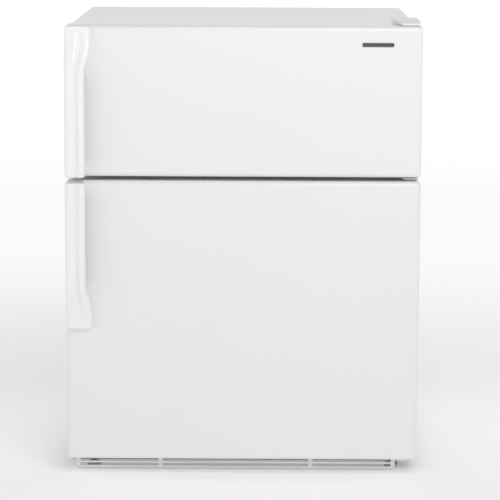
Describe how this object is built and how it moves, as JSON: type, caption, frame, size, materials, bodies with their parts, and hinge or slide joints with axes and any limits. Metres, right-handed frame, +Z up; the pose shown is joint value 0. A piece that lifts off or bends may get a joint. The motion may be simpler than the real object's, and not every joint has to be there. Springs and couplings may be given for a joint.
{
  "type": "top freezer refrigerator",
  "caption": "Free-standing refrigerator with a freezer above a fresh food space, hinged doors with handles, shelves, drawers and a rear condenser.",
  "frame": {"origin": "on the floor under the middle of the whole outline, from the handles' fronts to the condenser's wires", "axes": "+Z up, +X towards the hinge side (right as seen from the front), -Y towards the person who opens the doors"},
  "size_m": [0.711, 0.7411, 0.927],
  "materials": {
    "painted_white": "smooth white appliance enamel",
    "hinge_enamel": "light enamel on steel",
    "black_enamel": "semi-gloss black",
    "galvanised": "galvanised sheet",
    "zinc_screw": "zinc plated",
    "white_plastic": "moulded white plastic",
    "liner_plastic": "vacuum formed white plastic",
    "grey_plastic": "moulded grey plastic",
    "black_plastic": "moulded black plastic",
    "badge": "dark glossy plate",
    "clear_plastic": "clear moulded plastic",
    "foam": "rigid polyurethane foam",
    "gasket": "soft white vinyl",
    "grommet": "black rubber",
    "shelf_glass": "tempered glass",
    "bulb_glass": "frosted glass",
    "coil_paint": "black painted wire and tube",
    "fin_aluminium": "thin plain fins",
    "white_wire": "plastic dipped wire"
  },
  "bodies": {
    "cabinet": {"back_panel": "galvanised", "base_frame": "black_enamel", "bottom_deck": "galvanised", "bottom_hinge": "hinge_enamel", "center_hinge": "hinge_enamel", "compressor": "black_enamel", "compressor_grommets": "grommet", "condenser_brackets": "coil_paint", "condenser_coil": "coil_paint", "condenser_wires": "coil_paint", "control_housing": "white_plastic", "cord_gland": "black_plastic", "crisper_cover": "shelf_glass", "drain_pan": "grey_plastic", "evaporator": "fin_aluminium", "evaporator_cover": "liner_plastic", "fan_motor": "galvanised", "foam_insulation": "foam", "freezer_liner": "liner_plastic", "freezer_shelf": "white_wire", "fridge_liner": "liner_plastic", "glass_shelves": "shelf_glass", "hinge_screws": "zinc_screw", "lamp_bulb": "bulb_glass", "mullion_trim": "painted_white", "outer_cabinet_shell": "painted_white", "rear_access_cover": "galvanised", "roller_axles": "zinc_screw", "shelf_frames": "white_plastic", "toe_grille": "white_plastic", "top_hinge": "hinge_enamel", "top_hinge_cover": "white_plastic"},
    "freezer_door": {"freezer_door_skin": "painted_white", "freezer_door_foam": "foam", "freezer_door_liner": "liner_plastic", "freezer_door_gasket": "gasket", "freezer_door_bushings": "white_plastic", "freezer_door_handle": "white_plastic", "freezer_door_handle_screws": "zinc_screw", "freezer_door_bins": "clear_plastic", "badge_plate": "badge"},
    "fridge_door": {"fridge_door_skin": "painted_white", "fridge_door_foam": "foam", "fridge_door_liner": "liner_plastic", "fridge_door_gasket": "gasket", "fridge_door_bushings": "white_plastic", "fridge_door_handle": "white_plastic", "fridge_door_handle_screws": "zinc_screw", "fridge_door_bins": "clear_plastic"},
    "dairy_lid": {"dairy_lid": "clear_plastic"},
    "crisper_drawer_left": {"crisper_drawer_left": "clear_plastic"},
    "crisper_drawer_right": {"crisper_drawer_right": "clear_plastic"},
    "freezer_control_knob": {"freezer_control_knob": "white_plastic"},
    "fridge_control_knob": {"fridge_control_knob": "white_plastic"},
    "door_switch_plunger": {"door_switch_plunger": "white_plastic"},
    "evaporator_fan": {"evaporator_fan": "black_plastic"},
    "leveling_foot_left": {"leveling_foot_left": "grey_plastic"},
    "leveling_foot_right": {"leveling_foot_right": "grey_plastic"},
    "rear_roller_left": {"rear_roller_left": "black_plastic"},
    "rear_roller_right": {"rear_roller_right": "black_plastic"}
  },
  "joints": [
    {"name": "freezer_door_hinge", "type": "hinge", "parent": "cabinet", "child": "freezer_door", "pos_m": [0.3335, -0.30455, 0.767], "axis": [0, 0, 1], "range_deg": [0, 130]},
    {"name": "fridge_door_hinge", "type": "hinge", "parent": "cabinet", "child": "fridge_door", "pos_m": [0.3335, -0.30455, 0.3215], "axis": [0, 0, 1], "range_deg": [0, 130]},
    {"name": "dairy_lid_hinge", "type": "hinge", "parent": "fridge_door", "child": "dairy_lid", "pos_m": [0.1925, -0.26505, 0.49733], "axis": [1, 0, 0], "range_deg": [0, 70]},
    {"name": "crisper_left_slide", "type": "slide", "parent": "cabinet", "child": "crisper_drawer_left", "axis": [0, -1, 0], "range_m": [0, 0.075]},
    {"name": "crisper_right_slide", "type": "slide", "parent": "cabinet", "child": "crisper_drawer_right", "axis": [0, -1, 0], "range_m": [0, 0.075]},
    {"name": "freezer_control_turn", "type": "hinge", "parent": "cabinet", "child": "freezer_control_knob", "pos_m": [-0.062, -0.22955, 0.566], "axis": [0, -1, 0], "range_deg": [-135, 135]},
    {"name": "fridge_control_turn", "type": "hinge", "parent": "cabinet", "child": "fridge_control_knob", "pos_m": [0.022, -0.22955, 0.566], "axis": [0, -1, 0], "range_deg": [-135, 135]},
    {"name": "door_switch_press", "type": "slide", "parent": "cabinet", "child": "door_switch_plunger", "axis": [0, 1, 0], "range_m": [0, 0.006], "stiffness_N_per_m": 120, "springref_m": -0.003},
    {"name": "evaporator_fan_spin", "type": "hinge", "parent": "cabinet", "child": "evaporator_fan", "pos_m": [0, 0.25395, 0.791], "axis": [0, 1, 0], "continuous": true},
    {"name": "leveling_foot_left_turn", "type": "hinge", "parent": "cabinet", "child": "leveling_foot_left", "pos_m": [-0.3085, -0.24155, 0], "axis": [0, 0, 1], "continuous": true},
    {"name": "rear_roller_left_spin", "type": "hinge", "parent": "cabinet", "child": "rear_roller_left", "pos_m": [-0.2905, 0.30945, 0.017], "axis": [1, 0, 0], "continuous": true},
    {"name": "leveling_foot_right_turn", "type": "hinge", "parent": "cabinet", "child": "leveling_foot_right", "pos_m": [0.3085, -0.24155, 0], "axis": [0, 0, 1], "continuous": true},
    {"name": "rear_roller_right_spin", "type": "hinge", "parent": "cabinet", "child": "rear_roller_right", "pos_m": [0.2905, 0.30945, 0.017], "axis": [1, 0, 0], "continuous": true}
  ]
}
